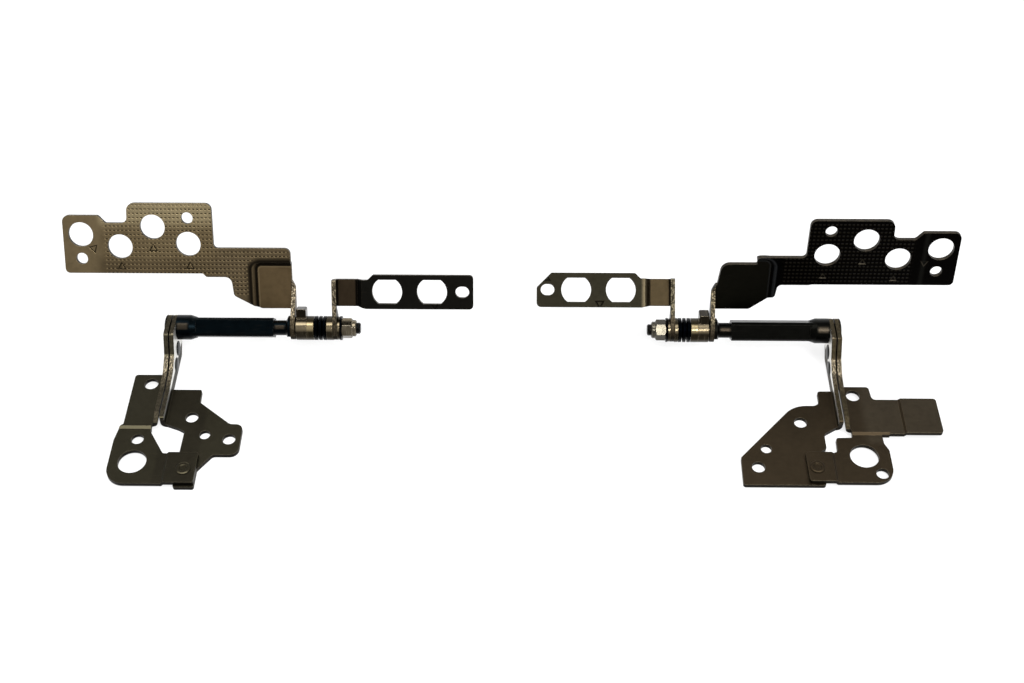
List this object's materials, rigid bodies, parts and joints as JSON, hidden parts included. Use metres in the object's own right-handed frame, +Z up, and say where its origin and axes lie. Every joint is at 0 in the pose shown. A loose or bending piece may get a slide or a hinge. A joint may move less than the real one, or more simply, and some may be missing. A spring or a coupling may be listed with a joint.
{
  "type": "laptop hinge pair",
  "caption": "Left and right friction hinges for a laptop: riveted sheet bases, flatted steel shafts with disc springs and lock nuts, long pierced lid brackets and short side brackets.",
  "frame": {"origin": "on the plane of the feet, straight below the hinge line, midway between the wall seams of the two hinges", "axes": "+X along the hinge line from the left hinge to the right one, -Y the front, where the feet point, +Z up"},
  "size_m": [0.174, 0.0502, 0.0297],
  "materials": {
    "dark_plate": "dark olive plating, satin, faintly mottled",
    "olive_plate": "olive bronze plating, satin",
    "black_oxide": "black oxide, oiled",
    "bright_steel": "warm nickel plating, bright",
    "bronze": "sintered bronze, oiled"
  },
  "bodies": {
    "bases": {"left_outer_base_bracket": "dark_plate", "left_inner_base_bracket": "dark_plate", "left_wall_rivets": "black_oxide", "left_foot_rivet": "dark_plate", "left_shaft": "black_oxide", "left_friction_ring": "bronze", "left_disc_springs": "black_oxide", "left_pressure_washer": "bright_steel", "left_outer_washer": "bright_steel", "left_end_washer": "black_oxide", "left_lock_nut": "bright_steel", "right_outer_base_bracket": "dark_plate", "right_inner_base_bracket": "dark_plate", "right_wall_rivets": "black_oxide", "right_foot_rivet": "dark_plate", "right_shaft": "black_oxide", "right_friction_ring": "bronze", "right_disc_springs": "black_oxide", "right_pressure_washer": "bright_steel", "right_outer_washer": "bright_steel", "right_end_washer": "black_oxide", "right_lock_nut": "bright_steel"},
    "left_lid": {"left_lid_bracket": "olive_plate", "left_stop_collar": "bright_steel"},
    "left_side": {"left_side_bracket": "dark_plate"},
    "right_lid": {"right_lid_bracket": "dark_plate", "right_stop_collar": "bright_steel"},
    "right_side": {"right_side_bracket": "olive_plate"}
  },
  "joints": [
    {"name": "left_lid_turn", "type": "hinge", "parent": "bases", "child": "left_lid", "pos_m": [-0.04182, 0, 0.0061], "axis": [1, 0, 0], "range_deg": [-60, 120]},
    {"name": "right_lid_turn", "type": "hinge", "parent": "bases", "child": "right_lid", "pos_m": [0.04182, 0, 0.0061], "axis": [1, 0, 0], "range_deg": [-79, 101]},
    {"name": "left_side_turn", "type": "hinge", "parent": "bases", "child": "left_side", "pos_m": [-0.03341, 0, 0.0061], "axis": [1, 0, 0], "range_deg": [-56, 124]},
    {"name": "right_side_turn", "type": "hinge", "parent": "bases", "child": "right_side", "pos_m": [0.03401, 0, 0.0061], "axis": [1, 0, 0], "range_deg": [-40, 140]}
  ]
}
